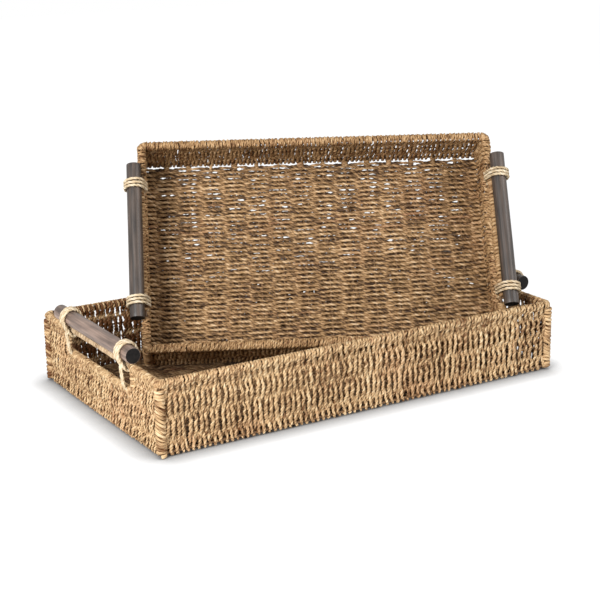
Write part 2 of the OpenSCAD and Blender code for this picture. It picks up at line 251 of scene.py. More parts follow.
def grass_fibre():
    """Colour, roughness and height of twisted grass: streaks along the fibre, painted shade in the crease
    between the plies and on the flanks between cords, and each strand's own tone and reddening."""
    group = bpy.data.node_groups.new("grass_fibre", "ShaderNodeTree")
    for name in ("Dark", "Mid", "Pale", "Red"):
        group.interface.new_socket(name, in_out="INPUT", socket_type="NodeSocketColor")
    group.interface.new_socket("Color", in_out="OUTPUT", socket_type="NodeSocketColor")
    for name in ("Roughness", "Height"):
        group.interface.new_socket(name, in_out="OUTPUT", socket_type="NodeSocketFloat")
    tints = group.nodes.new("NodeGroupInput")
    result = group.nodes.new("NodeGroupOutput")
    link = group.links.new

    def attribute(name):
        node = group.nodes.new("ShaderNodeAttribute")
        node.attribute_name = name
        return node.outputs["Vector"]

    def maths(kind, first, second, clamp=False):
        node = group.nodes.new("ShaderNodeMath")
        node.operation = kind
        node.use_clamp = clamp
        for socket, value in zip(node.inputs, (first, second)):
            if isinstance(value, float):
                socket.default_value = value
            else:
                link(value, socket)
        return node.outputs[0]

    def mix(factor, first, second):
        node = group.nodes.new("ShaderNodeMix")
        node.data_type = "RGBA"
        link(factor, node.inputs["Factor"])
        link(first, node.inputs["A"])
        link(second, node.inputs["B"])
        return node.outputs["Result"]

    def streaks(across, along, detail):
        stretch = group.nodes.new("ShaderNodeVectorMath")
        stretch.operation = "MULTIPLY"
        stretch.inputs[1].default_value = (across, across, along)
        link(attribute("fibre"), stretch.inputs[0])
        noise = add_node(group, "ShaderNodeTexNoise", Scale=1.0, Detail=detail)
        link(stretch.outputs[0], noise.inputs["Vector"])
        return noise.outputs["Fac"]

    def region(scale):
        place = group.nodes.new("ShaderNodeTexCoord")
        noise = add_node(group, "ShaderNodeTexNoise", Scale=scale, Detail=2.0)
        link(place.outputs["Object"], noise.inputs["Vector"])
        return noise.outputs["Fac"]

    def about_middle(value, amount):
        return maths("MULTIPLY", maths("SUBTRACT", value, 0.5), amount)

    tone = group.nodes.new("ShaderNodeSeparateXYZ")
    link(attribute("tone"), tone.inputs[0])
    ply = group.nodes.new("ShaderNodeSeparateXYZ")
    link(attribute("fibre"), ply.inputs[0])
    fine = streaks(across=6.0, along=2.6, detail=4.0)
    patch = streaks(across=1.2, along=0.45, detail=3.0)
    light = maths("ADD", tone.outputs["X"], about_middle(fine, 0.9))
    light = maths("ADD", light, about_middle(patch, 0.9))
    light = maths("ADD", light, about_middle(region(17.0), 0.45))
    light = maths("ADD", light, maths("MULTIPLY", ply.outputs["X"], 0.13))
    # Painted shade in the crease between the two plies.
    crest = maths("ABSOLUTE", ply.outputs["X"], 0.0)
    painted_crease_shade = maths("MULTIPLY", maths("SUBTRACT", 0.45, crest, clamp=True), 0.75)
    light = maths("SUBTRACT", light, painted_crease_shade)
    # Painted shade on the flanks between cords.
    painted_flank_shade = maths("MULTIPLY", maths("POWER", tone.outputs["Z"], 3.0), 0.2)
    light = maths("SUBTRACT", light, painted_flank_shade)
    lower = maths("MULTIPLY", light, 2.0, clamp=True)
    upper = maths("SUBTRACT", maths("MULTIPLY", light, 2.0), 1.0, clamp=True)
    colour = mix(upper, mix(lower, tints.outputs["Dark"], tints.outputs["Mid"]), tints.outputs["Pale"])
    reddened = maths("ADD", tone.outputs["Y"], about_middle(region(13.0), 1.1), clamp=True)
    red = mix(lower, tints.outputs["Dark"], tints.outputs["Red"])
    link(mix(reddened, colour, red), result.inputs["Color"])
    link(maths("ADD", maths("MULTIPLY", fine, 0.3), 0.42), result.inputs["Roughness"])
    link(maths("ADD", fine, maths("MULTIPLY", patch, 0.5)), result.inputs["Height"])
    return group


fibre_look = grass_fibre()


def grass_cord(name, dark, mid, pale, red):
    """A cord material in four tints of one dried grass."""
    material, tree, shader = new_material(name)
    grass = tree.nodes.new("ShaderNodeGroup")
    grass.node_tree = fibre_look
    for socket, tint in (("Dark", dark), ("Mid", mid), ("Pale", pale), ("Red", red)):
        grass.inputs[socket].default_value = shade(*tint)
    relief = add_node(tree, "ShaderNodeBump", Strength=0.5, Distance=0.0006)
    shader.inputs["Specular IOR Level"].default_value = 0.35
    tree.links.new(grass.outputs["Color"], shader.inputs["Base Color"])
    tree.links.new(grass.outputs["Roughness"], shader.inputs["Roughness"])
    tree.links.new(grass.outputs["Height"], relief.inputs["Height"])
    tree.links.new(relief.outputs["Normal"], shader.inputs["Normal"])
    return material


def strand_tone(chance, count, steps, spread, reds):
    """Lightness and reddening of each strand, drifting along it."""
    along = np.linspace(0, 1, steps)
    light = chance.normal(0.5, 0.5 * spread, (count, 1))
    light = light + wander(chance, count, along, (0.5, 0.17, 0.08, 0.045), 1.2 * spread)
    red = chance.normal(-0.5, 0.5, (count, 1)) + wander(chance, count, along, (0.5, 0.2), 0.35)
    red = np.clip(red, 0, 1)
    return np.stack([light, red * reds], axis=-1)


def wear(piece, tray, node):
    """The piece stands for its node, and rides with its tray."""
    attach(piece, tray.body)
    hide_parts(f"{tray.name}_{node}")


def row_openings(row_y, edge, wires, x, chance):
    """How far each row is parted from the next one, from 0 to 1 along it: small openings on both sides
    of the wires, more of them in the back half."""
    spots = np.sort(np.concatenate([wires - eye_out, wires + eye_out]))
    likely = eye_chance + eye_chance_back * np.clip(1.6 * row_y / edge, 0, 1)
    eyes = chance.random((len(row_y), len(spots))) < likely[:, None]
    eye_x = spots + chance.normal(0, eye_stray, eyes.shape)
    parted = np.zeros((len(row_y), len(x)))
    for column in range(len(spots)):
        parted += eyes[:, column, None] * np.exp(-(((x - eye_x[:, column, None]) / eye_half) ** 4))
    parted[-1] = 0
    return np.clip(parted, 0, 1)


def floor_rows(tray, wires, edge, chance):
    """The rows of cord between the two edges. A row is drawn in where it crosses over a wire, with a painted
    highlight on that crown, and spreads where it goes under one. Painted shade darkens its slopes between
    the wires and the side that is turned into the weave."""
    rows = round(2 * edge / row_pitch)
    row_y = (np.arange(rows) - (rows - 1) / 2) * (2 * edge / rows) + chance.normal(0, 0.0003, rows)
    end_x = tray.floor_x + floor_tuck
    x = np.linspace(-end_x, end_x, row_steps[tray.name])
    turns = np.cos(np.pi * (x - wires[0]) / floor_wire_gap)
    side = (-1.0) ** np.arange(rows)[:, None]
    over = side * np.tanh(row_snap * turns) / math.tanh(row_snap)
    outer = np.zeros((rows, 1))
    outer[0] = -1
    outer[-1] = 1
    bend = wander(chance, rows, x, (0.21, 0.083, 0.041), 0.0004)
    bend = bend + outer * np.abs(wander(chance, rows, x, (0.19, 0.066), edge_sway))
    y = row_y[:, None] + bend
    z = tray.floor_t / 2 + row_rise * over + wander(chance, rows, x, (0.11, 0.05), 0.0002)
    wide = row_half - np.where(over > 0, row_draw_in, row_spread) * over
    wide = wide + wander(chance, rows, x, (0.06, 0.023, 0.013), 0.0003)
    past_wires = np.clip((np.abs(x) - wires[-1] + 0.012) / 0.02, 0, 1)
    wide = wide + row_end_spread * past_wires
    tone = strand_tone(chance, rows, len(x), 0.12, 0.7)
    # Painted highlight on the crowns over the wires, painted shade on the slopes between them.
    tone[..., 0] += painted_crown_highlight * np.maximum(over, 0) - painted_slope_shade * (1 - turns**2)
    above = row_openings(row_y, edge, wires, x, chance)
    below = np.roll(above, 1, axis=0)
    wide = wide - eye_draw_in * np.maximum(above, below)
    paths = np.stack(np.broadcast_arrays(x, y, z), axis=-1)
    paths[..., 1] += eye_shift * (below - above)
    cords = twist_cords(paths, crossways, wide, cord_half, tone, chance, lay=row_lay, sides=8, groove=0.26)
    rings, _, tones = cords
    # Painted shade on the side of each row that is turned into the weave.
    inner = (rings[..., 2] - z[..., None]) / cord_half * over[..., None]
    tones[..., 0] += painted_weave_shade * np.minimum(inner, 0)
    return cords


def wire_ties(tray, wires, edge, chance):
    """Ties of cord round the ends of the wires, from under the last row into the long walls."""
    count = 2 * len(wires)
    x = np.concatenate([wires, wires])[:, None] + chance.normal(0, 0.0005, (count, 1))
    half_y = np.linspace(edge - tie_lap, tray.floor_y + floor_tuck, tie_steps)
    y = half_y * np.repeat([-1, 1], len(wires))[:, None]
    paths = np.stack(np.broadcast_arrays(x, y, tray.floor_t / 2), axis=-1)
    tone = strand_tone(chance, count, tie_steps, 0.1, 0.5)
    wide = chance.uniform(*tie_half, (count, 1))
    return twist_cords(paths, lengthways, wide, tie_thick, tone, chance, sides=6)


# The large floor's tints are darker than the small one's as painted shade: it is the same cord, lying in the
# shadow of the small tray.
floor_grass = {
    "large": grass_cord("large_floor_grass", (52, 30, 11), (146, 112, 75), (200, 168, 130), (132, 88, 60)),
    "small": grass_cord("small_floor_grass", (56, 33, 12), (174, 136, 92), (234, 203, 162), (156, 105, 73)),
}
for seed, tray in enumerate(trays):
    chance = np.random.default_rng(11 + seed)
    low, high = tray.box("floor_wires")
    wire_r = (high[2] - low[2]) / 2
    wire_count = round((high[0] - low[0]) / floor_wire_gap) + 1
    wires = np.linspace(low[0] + wire_r, high[0] - wire_r, wire_count)
    edge = tray.floor_y - edge_gap
    bundles = [floor_rows(tray, wires, edge, chance), wire_ties(tray, wires, edge, chance)]
    floor_piece = cord_mesh(f"{tray.name}_woven_floor", bundles, tray, floor_grass[tray.name])
    wear(floor_piece, tray, "floor_weave")


# The long walls. One two-ply cord is laced up and down round the wires, outside one and inside the
# next, over the rim wire and under the foot wire. On its way down it takes the other side of each
# wire. Further turns close the rim, and the wall wires are sheathed in cord.
wall_wire_gap = 0.0335
strand_lay = 0.0115
loop_foot = 0.0035
loop_rim = 0.0052
wire_hug = 0.2
rim_reach = 0.009
width_run = 0.008
sheath_half = 0.0018
sheath_step = 0.004
fibre_half = 0.00035
fibre_off = 0.0046
fibre_low = 0.012
fibre_high = 0.004
fibre_way = np.array([0.004, 0.0006, 0.004])
fibre_bend = np.array([0.002, 0.0004, 0.002])
fibre_stand = 0.0016
fibre_pale = np.array([0.15, 0.0])
long_fibres = 220
long_ease = 0.11


def even_walk(walk, steps):
    """The same walk in steps of one length."""
    run = np.concatenate([[0], np.cumsum(np.linalg.norm(np.diff(walk, axis=0), axis=1))])
    even = np.linspace(0, run[-1], steps)
    return np.stack([np.interp(even, run, walk[:, k]) for k in range(walk.shape[1])], axis=-1)


def smooth_path(points, steps):
    """An even walk along a smooth curve through a few points."""
    points = np.asarray(points, float)
    ends = np.concatenate([[2 * points[0] - points[1]], points, [2 * points[-1] - points[-2]]])
    t = np.linspace(0, 1, 12, endpoint=False)[:, None]
    pieces = []
    for a, b, c, d in zip(ends, ends[1:], ends[2:], ends[3:]):
        square = a - 2.5 * b + 2 * c - d / 2
        cube = 1.5 * (b - c) + (d - a) / 2
        pieces.append(b + t * (c - a) / 2 + t**2 * square + t**3 * cube)
    return even_walk(np.concatenate([*pieces, points[-1:]]), steps)


def wire_levels(tray, top_z):
    """Heights of the wires from the foot wire to a top wire."""
    gaps = round((top_z - tray.foot_z) / wall_wire_gap)
    return np.linspace(tray.foot_z, top_z, gaps + 1)


def strand_profile(levels, top_loop, out_at_wire, steps):
    """A strand seen along its wall: out from the wall's middle, and height. It starts under the foot
    wire, goes up in and out of the wires, over the top wire and down on the other side of each."""
    sides = (-1.0) ** np.arange(len(levels))[::-1]
    hug = wire_hug * (levels[1] - levels[0])
    leg = []
    for z, side in zip(levels[1:-1], sides[1:-1]):
        for share, rise in ((0.85, -hug), (1.0, 0.0), (0.85, hug)):
            leg.append((share * side * out_at_wire, z + rise))
    half_turn = np.radians((0, 45, 90, 135, 180))
    foot_loop = -sides[0] * loop_foot
    under = [(foot_loop * math.cos(a), levels[0] - loop_foot * math.sin(a)) for a in half_turn]
    over = [(top_loop * math.cos(a), levels[-1] + top_loop * math.sin(a)) for a in half_turn]
    back = [(-out, z) for out, z in reversed(leg)]
    return smooth_path([*under, *leg, *over, *back, (foot_loop, levels[0])], steps)


def strand_widths(z, levels, look):
    """Half width of a strand: spread on each wire, drawn in between, and with a width of its own round
    the rim and round the foot."""
    near = np.abs(z[:, None] - levels).min(axis=1) / (levels[1] - levels[0])
    wide = look["between"] + (look["at_wire"] - look["between"]) * np.cos(np.pi * np.clip(near, 0, 0.5)) ** 2
    at_rim = np.clip((z - levels[-1] + rim_reach) / width_run, 0, 1)
    at_foot = np.clip((levels[0] + width_run - z) / width_run, 0, 1)
    return wide + (look["at_top"] - wide) * at_rim + (look["at_foot"] - wide) * at_foot


def wall_turns(chance, spots, place, broad, wire_z, loop, look):
    """Single turns of cord round a rim wire or a hand-hole's lower wire, between the strands."""
    count = len(spots) - 1
    angle = np.radians(np.linspace(-75, 300, 18))
    gap = np.diff(spots)[:, None]
    along = spots[:-1, None] + 0.75 * gap + chance.normal(0, 0.0004, (count, 1))
    along = along + 0.25 * gap * np.linspace(-1, 1, len(angle))
    out = loop * np.cos(angle) + np.zeros((count, 1))
    up = wire_z + loop * np.sin(angle) + np.zeros((count, 1))
    tone = strand_tone(chance, count, len(angle), look["spread"], look["reds"])
    return twist_cords(place(along, out, up), broad, look["at_top"], cord_half, tone, chance, sides=7)


def wall_strands(chance, spots, place, broad, levels, top_loop, look, steps=150):
    """Strands that go up at given places along a wall and down half a gap further on, with the turns at
    its top."""
    count = len(spots)
    out, z = strand_profile(levels, top_loop, look["out"], steps).T
    step = np.hypot(np.diff(out), np.diff(z)).mean()
    run = step * np.arange(steps)
    over_top = np.clip((run - run[z.argmax()]) / (np.pi * top_loop) + 0.5, 0, 1)
    from_last = np.clip(1 - run / (np.pi * loop_foot), 0, 1)
    along = spots[:, None] + np.gradient(spots)[:, None] / 2 * (over_top - from_last)
    along = along + chance.normal(0, look["uneven"], (count, 1))
    along = along + wander(chance, count, run, (0.09, 0.034, 0.016), look["sway"])
    height = np.broadcast_to(z, along.shape)
    depth = out + wander(chance, count, run, (0.07, 0.03), 0.0002)
    wide = strand_widths(z, levels, look) * chance.normal(1, 0.1, (count, 1))
    wide = wide + wander(chance, count, run, (0.05, 0.023, 0.013), 0.0003)
    tone = strand_tone(chance, count, steps, look["spread"], look["reds"])
    # Painted shade on the part of each strand that lies on the inside of the wall.
    tone[..., 0] -= look["inside"] * np.clip(-out / look["out"], 0, 1)
    walks = place(along, depth, height)
    strands = twist_cords(walks, broad, wide, cord_half, tone, chance, lay=strand_lay, sides=8, groove=0.38)
    return [strands, wall_turns(chance, spots, place, broad, levels[-1], top_loop, look)]


def strand_spots(half_run, pitch, ease):
    """Places along a wall where a strand goes up, for a wall of a given half length. ease is how much
    wider than the middle ones the last gaps are, as a share, and the first ones closer."""
    count = round(half_run / pitch)
    even = (2 * np.arange(count) - count + 0.5) / count
    return half_run * (even - ease * (1 - even**2) / 2)


def loose_fibres(chance, count, reach, top_z, place):
    """Fine ends of grass that stand off both faces of a wall."""
    start = np.stack(
        [
            chance.uniform(-reach, reach, count),
            chance.choice([-1.0, 1.0], count) * fibre_off,
            chance.uniform(fibre_low, top_z, count),
        ],
        axis=-1,
    )
    way = chance.normal(0, 1, (count, 3)) * fibre_way
    way[:, 1] += np.sign(start[:, 1]) * fibre_stand
    bend = chance.normal(0, 1, (count, 3)) * fibre_bend
    t = np.linspace(0, 1, 6)[:, None]
    walk = start[:, None] + t * way[:, None] + t**2 * bend[:, None]
    paths = place(walk[..., 0], walk[..., 1], walk[..., 2])
    tone = strand_tone(chance, count, len(t), 0.3, 0.3) + fibre_pale
    askew = np.array([0.36, 0.48, 0.8])
    return twist_cords(paths, askew, fibre_half * (1.2 - t[:, 0]), fibre_half, tone, chance, sides=4)


def wire_sheaths(chance, half_run, levels, place, look):
    """A cord along each of some wall wires, for a wall of a given half length."""
    steps = int(2 * half_run / sheath_step)
    along = np.linspace(-half_run, half_run, steps) + np.zeros((len(levels), 1))
    height = np.array(levels)[:, None] + wander(chance, len(levels), along[0], (0.05, 0.021), 0.0003)
    tone = strand_tone(chance, len(levels), steps, look["spread"], look["reds"])
    paths = place(along, 0 * along, height)
    return twist_cords(paths, upwards, sheath_half, sheath_half, tone, chance, sides=6)


def long_wall(tray, face):
    """Puts distance along a long wall, out from its middle and height into the tray's axes."""

    def place(along, out, height):
        return np.stack([along, face * (tray.wall_y + out), height], axis=-1)

    return place


wall_grass = {
    "large": grass_cord("large_wall_grass", (104, 64, 28), (210, 175, 129), (237, 213, 173), (192, 132, 94)),
    "small": grass_cord("small_wall_grass", (94, 58, 25), (184, 146, 101), (224, 193, 151), (162, 106, 73)),
}
# A weave: how far apart the strands are, how far out they stand at a wire, their half widths, how far
# they stray and sway, how their tone varies and reddens, and how much painted shade darkens them inside.
open_weave = dict(
    pitch=0.0047,
    out=0.0032,
    at_wire=0.0031,
    between=0.0028,
    at_top=0.0027,
    at_foot=0.0021,
    uneven=0.0007,
    sway=0.0011,
    spread=0.12,
    reds=0.35,
    inside=0.25,
)
close_weave = dict(
    open_weave,
    pitch=0.0035,
    out=0.0024,
    at_wire=0.0028,
    between=0.0025,
    at_top=0.0023,
    at_foot=0.0026,
    uneven=0.0005,
    sway=0.0008,
    inside=0.05,
)
wall_look = {"large": open_weave, "small": close_weave}
# A back wall's strands take more painted shade on the inside, and the large one's are spread wider.
back_change = {"large": dict(at_wire=0.0042, between=0.0034, inside=0.95), "small": dict(inside=0.15)}
for seed, tray in enumerate(trays):
    chance = np.random.default_rng(31 + seed)
    front_look = wall_look[tray.name]
    back_look = dict(front_look, **back_change[tray.name])
    spots = strand_spots(tray.run_x, front_look["pitch"], long_ease)
    levels = wire_levels(tray, tray.rim_z)
    for side, face, look in (("front", -1, front_look), ("back", 1, back_look)):
        on_wall = long_wall(tray, face)
        bundles = wall_strands(chance, spots, on_wall, lengthways, levels, loop_rim, look)
        bundles.append(wire_sheaths(chance, tray.run_x, levels[1:-1], on_wall, look))
        bundles.append(loose_fibres(chance, long_fibres, tray.run_x, tray.rim_z + fibre_high, on_wall))
        wall = cord_mesh(f"{tray.name}_woven_{side}", bundles, tray, wall_grass[tray.name])
        wear(wall, tray, f"{side}_weave")


# The end walls. Woven like the long walls, of the same cord. Under the hand-hole the strands roll over
# the hole's lower wire, and cord is bound round the two upright wires beside it.
hole_edge = 0.0065
hole_cord = 0.0022
end_fibres = 120
end_ease = 0.05
upright_r = 0.0060
upright_pitch = 0.0056
upright_thick = 0.0020
upright_foot = 0.002
upright_head = 0.001
bind_lay = 0.043
bind_close = 0.56
turn_steps = 18


def bind_rod(start, end, radius, pitch, half_thick, chance, spread, slip=0.06, slant=0.0):
    """One cord wound round a rod between two points, turn beside turn. slip is how far the turns
    stray, as a share of their pitch, and slant how far a turn tips along the rod, as a share of its
    radius."""
    axis = unit(end - start)
    length = np.linalg.norm(end - start)
    askew = np.array([0.31, 0.52, 0.79])
    first = unit(np.cross(axis, askew))
    second = np.cross(axis, first)
    steps = int(turn_steps * length / pitch)
    run = np.linspace(0, length, steps)
    angle = 2 * np.pi * run / pitch + chance.uniform(0, 6)
    reach = radius - half_thick + wander(chance, 1, run, (0.031, 0.012), 0.00015)[0]
    shift = run + wander(chance, 1, run, (0.027, 0.011), pitch * slip)[0]
    tip = slant * radius * np.sin(np.pi * run / length)
    shift = shift + tip * np.cos(angle + wander(chance, 1, run, (0.09, 0.04), 0.7)[0])
    wheel = np.cos(angle)[:, None] * first + np.sin(angle)[:, None] * second
    path = start + shift[:, None] * axis + reach[:, None] * wheel
    tone = strand_tone(chance, 1, steps, spread, 0.5)
    tone[..., 0] += wander(chance, 1, run, (pitch * 3.1, pitch * 1.7), spread * 0.5)
    half = pitch * bind_close
    return twist_cords(path[None], axis, half, half_thick, tone, chance, lay=bind_lay, sides=8)


def end_wall(tray, face):
    """Puts distance along an end wall, out from its middle and height into the tray's axes."""

    def place(along, out, height):
        return np.stack([face * (tray.wall_x + out), along, height], axis=-1)

    return place


for seed, tray in enumerate(trays):
    chance = np.random.default_rng(51 + seed)
    look = dict(wall_look[tray.name], uneven=0.0008, sway=0.0014)
    spots = strand_spots(tray.run_y, look["pitch"], end_ease)
    upright_y = tray.hole_half + hole_edge
    low_levels = wire_levels(tray, tray.hole_wire_z)
    low_loop = hole_edge - hole_cord
    levels = np.append(low_levels, tray.rim_z)
    for side, face in (("left", -1), ("right", 1)):
        on_wall = end_wall(tray, face)
        under = spots[np.abs(spots) < upright_y]
        bundles = wall_strands(chance, under, on_wall, crossways, low_levels, low_loop, look)
        bundles.append(wire_sheaths(chance, tray.run_y, low_levels[1:], on_wall, look))
        bundles.append(loose_fibres(chance, end_fibres, tray.run_y, tray.hole_wire_z, on_wall))
        for end in (-1, 1):
            beside = spots[end * spots > upright_y]
            bundles += wall_strands(chance, beside, on_wall, crossways, levels, loop_rim, look)
            foot = np.array([face * tray.wall_x, end * upright_y, tray.hole_wire_z + upright_foot])
            head = np.array([face * tray.wall_x, end * upright_y, tray.rim_z - upright_head])
            bundles.append(bind_rod(foot, head, upright_r, upright_pitch, upright_thick, chance, 0.15))
        wall = cord_mesh(f"{tray.name}_woven_{side}", bundles, tray, wall_grass[tray.name])
        wear(wall, tray, f"{side}_weave")


# The corner columns. A length of the same cord is bound round each upright corner wire, turn on
# turn from the foot up to the rim, whose own turns go on round the bend of the rim wire.
corner_pitch = 0.0052
corner_thick = 0.0024
corner_foot = 0.0034
rim_bend = 0.006
bend_half = 0.0028
bend_turns = np.radians([4, 22, 40, 58, 76, 92])[:, None]


def corner_binding(tray, x, y, radius, chance):
    """The bound column at one corner, and the turns that carry the rim round it."""
    side_x, side_y = np.sign(x), np.sign(y)
    foot = np.array([x, y, corner_foot])
    shoulder = np.array([x, y, tray.rim_z - loop_rim])
    column = bind_rod(foot, shoulder, radius, corner_pitch, corner_thick, chance, 0.2, slip=0.22, slant=0.6)
    swing = bend_turns + chance.normal(0, 0.04, bend_turns.shape)
    angle = np.radians(np.linspace(-100, 260, 20))
    swing = swing + np.linspace(-0.1, 0.1, len(angle))
    reach = rim_bend + loop_rim * np.cos(angle)
    turns = np.stack(
        [
            x - side_x * rim_bend + side_x * reach * np.cos(swing),
            y - side_y * rim_bend + side_y * reach * np.sin(swing),
            tray.rim_z + loop_rim * np.sin(angle) + 0 * swing,
        ],
        axis=-1,
    )
    tone = strand_tone(chance, len(turns), len(angle), 0.12, 0.5)
    broad = unit(np.array([-side_x, side_y, 0.0]))
    return [column, twist_cords(turns, broad, bend_half, cord_half, tone, chance, sides=7)]


for seed, tray in enumerate(trays):
    chance = np.random.default_rng(71 + seed)
    for end, y in (("front", -1), ("back", 1)):
        for side, x in (("left", -1), ("right", 1)):
            part = f"{end}_{side}_corner"
            low, high = tray.box(part)
            radius = (high[0] - low[0]) / 2
            bundles = corner_binding(tray, x * tray.wall_x, y * tray.wall_y, radius, chance)
            column = cord_mesh(f"{tray.name}_bound_{part}", bundles, tray, wall_grass[tray.name])
            wear(column, tray, part)


# The grip bars. Across each hand-hole the rim wire is bound tight with cord, which makes the bar that
# the dowel rests on: fine pale straw on the large tray, and its own seagrass on the small one.
worn_straw = grass_cord("worn_straw", (112, 86, 58), (180, 152, 118), (216, 192, 158), (164, 130, 94))
grip_finish = {
    "large": dict(cord=worn_straw, slot="straw_cord", pitch=0.0046),
    "small": dict(cord=wall_grass["small"], slot="small_seagrass", pitch=0.0060),
}
bound_r = 0.0056
bound_thick = 0.0022
bound_inset = 0.002


def seat_of(tray, side, face):
    """Where a bound bar lies in its seat under the dowel, and where the dowel lies from it, both as
    distances out and up."""
    low, high = tray.box(side + "_grip")
    rod = sum(tray.box(side + "_dowel")) / 2
    reach = np.array([face * rod[0] - tray.wall_x, rod[2] - tray.rim_z])
    lift = ((high[2] - low[2]) / 2 - bound_r) * unit(reach)
    return np.array([tray.wall_x, tray.rim_z]) + lift, reach - lift


for seed, tray in enumerate(trays):
    chance = np.random.default_rng(91 + seed)
    finish = grip_finish[tray.name]
    for side, face in (("left", -1), ("right", 1)):
        part = side + "_grip"
        low, high = tray.box(part)
        out, up = seat_of(tray, side, face)[0]
        start = np.array([face * out, low[1] + bound_inset, up])
        end = np.array([face * out, high[1] - bound_inset, up])
        binding = bind_rod(start, end, bound_r, finish["pitch"], bound_thick, chance, 0.13)
        bar = cord_mesh(f"{tray.name}_bound_{part}", [binding], tray, finish["cord"])
        wear(bar, tray, part)


# The dowels. Turned hardwood rods stained dark grey-brown, with the stain rubbed thin along the grain,
# edges eased by hand and sawn ends stained nearly black. The large tray's left one takes a lighter copy
# of the stain, as painted light.
ease = 0.0007
out_of_round = 0.006
dowel_sides = 56
body_rings = 40


def stained_wood(name, deep, worn, rough, gloss):
    """Stained wood whose grain runs along the rod, from each point's place in the rod's own axes."""
    material, tree, shader = new_material(name)
    grain = tree.nodes.new("ShaderNodeAttribute")
    grain.attribute_name = "grain"
    stretch = add_node(tree, "ShaderNodeMapping", Scale=(420.0, 9.0, 420.0))
    lines = add_node(tree, "ShaderNodeTexNoise", Scale=1.0, Detail=6.0, Roughness=0.62)
    broad = add_node(tree, "ShaderNodeMapping", Scale=(90.0, 14.0, 90.0))
    cloud = add_node(tree, "ShaderNodeTexNoise", Scale=1.0, Detail=3.0)
    both = tree.nodes.new("ShaderNodeMath")
    both.operation = "MULTIPLY"
    tint = tree.nodes.new("ShaderNodeValToRGB")
    tint.color_ramp.elements[0].position = 0.14
    tint.color_ramp.elements[0].color = shade(*deep)
    tint.color_ramp.elements[1].position = 0.42
    tint.color_ramp.elements[1].color = shade(*worn)
    dull = add_node(tree, "ShaderNodeMapRange", To_Min=rough - 0.1, To_Max=rough + 0.15)
    relief = add_node(tree, "ShaderNodeBump", Strength=0.35, Distance=0.0004)
    shader.inputs["Specular IOR Level"].default_value = gloss
    link = tree.links.new
    link(grain.outputs["Vector"], stretch.inputs["Vector"])
    link(grain.outputs["Vector"], broad.inputs["Vector"])
    link(stretch.outputs["Vector"], lines.inputs["Vector"])
    link(broad.outputs["Vector"], cloud.inputs["Vector"])
    link(lines.outputs["Fac"], both.inputs[0])
    link(cloud.outputs["Fac"], both.inputs[1])
    link(both.outputs[0], tint.inputs["Fac"])
    link(tint.outputs["Color"], shader.inputs["Base Color"])
    link(lines.outputs["Fac"], dull.inputs["Value"])
    link(dull.outputs["Result"], shader.inputs["Roughness"])
    link(lines.outputs["Fac"], relief.inputs["Height"])
    link(relief.outputs["Normal"], shader.inputs["Normal"])
    return material


long_grain = stained_wood("stained_wood", (36, 30, 26), (100, 85, 75), 0.4, 0.5)
# A lighter copy of the stain, as painted light.
painted_light_grain = stained_wood("stain_with_painted_light", (74, 60, 53), (168, 143, 128), 0.45, 0.5)
end_grain = stained_wood("stained_end_grain", (16, 15, 15), (40, 37, 36), 0.65, 0.15)


def dowel_rod(name, tray, low, high, wood, chance):
    """A rod with eased ends, a touch out of round, with its end faces in the end grain finish."""
    middle = (low + high) / 2
    radius = (high[2] - low[2]) / 2
    half = (high[1] - low[1]) / 2
    bevel = [(ease * (1 - math.cos(a)), ease * (1 - math.sin(a))) for a in np.linspace(0, math.pi / 2, 5)]
    ends = [(half - along, radius - inward) for along, inward in bevel]
    faces_in = [(half, (radius - ease) * share) for share in (0.7, 0.35, 0.05)]
    right_end = [(half, radius - ease), *ends[1:]]
    body = [(y, radius) for y in np.linspace(half - ease, ease - half, body_rings)]
    outline = [*reversed(faces_in), *right_end, *body[1:-1]]
    outline += [(-y, r) for y, r in reversed(right_end)] + [(-y, r) for y, r in faces_in]
    y, r = np.array(outline).T
    angle = 2 * np.pi * np.arange(dowel_sides) / dowel_sides
    bow = 1 - out_of_round * (1 + np.sin(2 * angle + chance.uniform(0, 6)))
    bow = bow - out_of_round * (1 + np.sin(40 * y[:, None] + angle + chance.uniform(0, 6)))
    local = np.stack(
        np.broadcast_arrays(
            middle[0] + r[:, None] * bow * np.cos(angle),
            middle[1] + y[:, None],
            middle[2] + r[:, None] * bow * np.sin(angle),
        ),
        axis=-1,
    )
    rings = len(y)
    index = np.arange(rings * dowel_sides).reshape(rings, dowel_sides)
    after = np.roll(index, -1, axis=1)
    quads = np.stack([index[:-1], after[:-1], after[1:], index[1:]], axis=-1)
    faces = [*quads.reshape(-1, 4).tolist(), index[0, ::-1].tolist(), index[-1].tolist()]
    mesh = bpy.data.meshes.new(name)
    points = local.reshape(-1, 3)
    mesh.from_pydata(tray.place(points).tolist(), [], faces, shade_flat=False)
    layer = mesh.attributes.new("grain", "FLOAT_VECTOR", "POINT")
    layer.data.foreach_set("vector", (points + chance.uniform(0, 5, 3)).astype(np.float32).ravel())
    mesh.materials.append(wood)
    mesh.materials.append(end_grain)
    flat_rings = len(faces_in)
    on_end = np.zeros(len(faces), np.int32)
    on_end[: flat_rings * dowel_sides] = 1
    on_end[(rings - 1 - flat_rings) * dowel_sides :] = 1
    mesh.polygons.foreach_set("material_index", on_end)
    rod = bpy.data.objects.new(name, mesh)
    bpy.context.collection.objects.link(rod)
    return rod


for seed, tray in enumerate(trays):
    chance = np.random.default_rng(111 + seed)
    for part in ("left_dowel", "right_dowel"):
        # The large tray's left dowel is painted lighter, as painted light from the lamp on its left.
        wood = painted_light_grain if (tray.name, part) == ("large", "left_dowel") else long_grain
        rod = dowel_rod(f"{tray.name}_stained_{part}", tray, *tray.box(part), wood, chance)
        wear(rod, tray, part)


